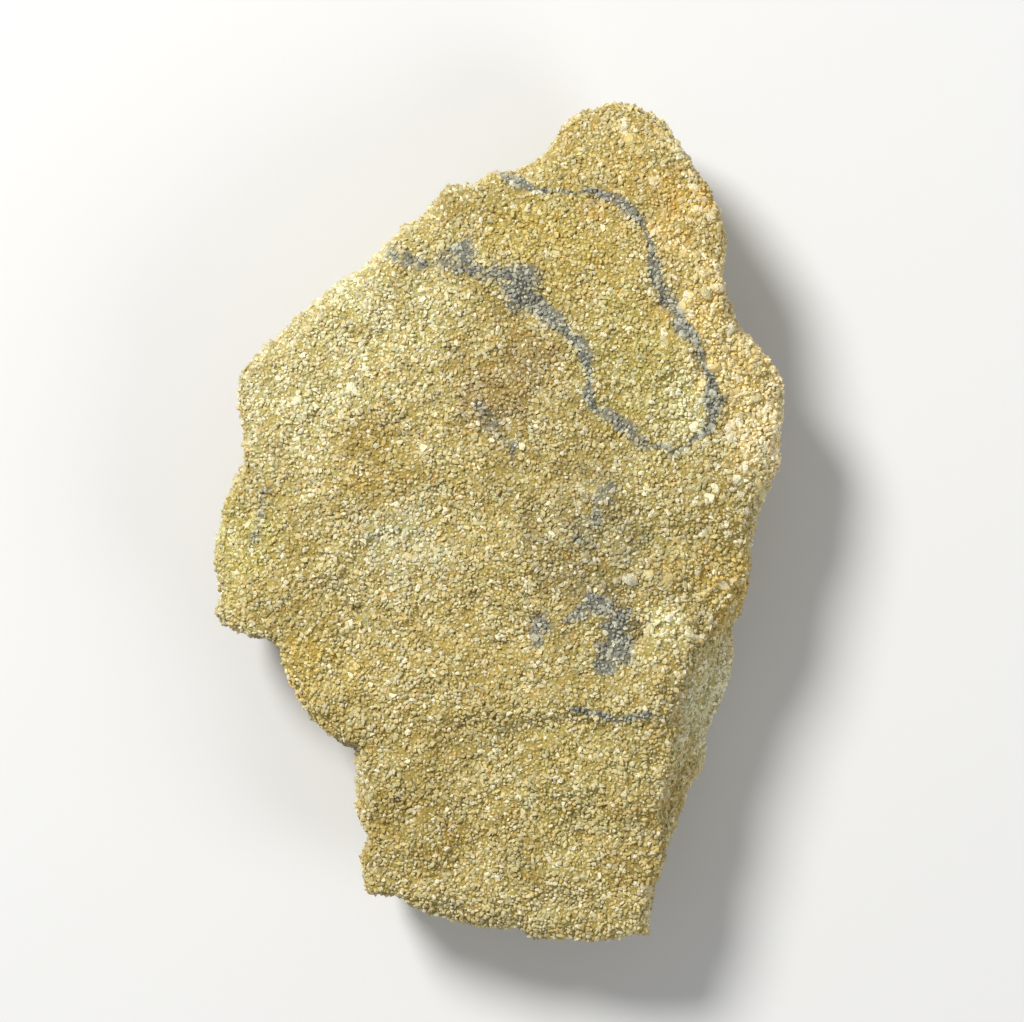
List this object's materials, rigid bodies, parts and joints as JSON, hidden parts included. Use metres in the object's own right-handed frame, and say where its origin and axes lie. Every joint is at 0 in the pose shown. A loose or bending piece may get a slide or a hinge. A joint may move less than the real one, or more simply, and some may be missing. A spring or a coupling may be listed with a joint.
{
  "type": "native selenium in sandstone",
  "caption": "Flat broken slab of fine yellow sandstone with thin grey bands and patches of native selenium on its front, lying on its back.",
  "frame": {"origin": "middle of the slab's bounding box, on the surface that it lies on", "axes": "+Z out of the face with the selenium bands, +Y towards the narrow tip"},
  "size_m": [0.0352, 0.0518, 0.0115],
  "materials": {
    "sandstone": "rough sand grains, pale yellow with ochre and orange tones, blue-grey selenium bands"
  },
  "bodies": {
    "root": {"selenium_sandstone": "sandstone"}
  },
  "joints": []
}
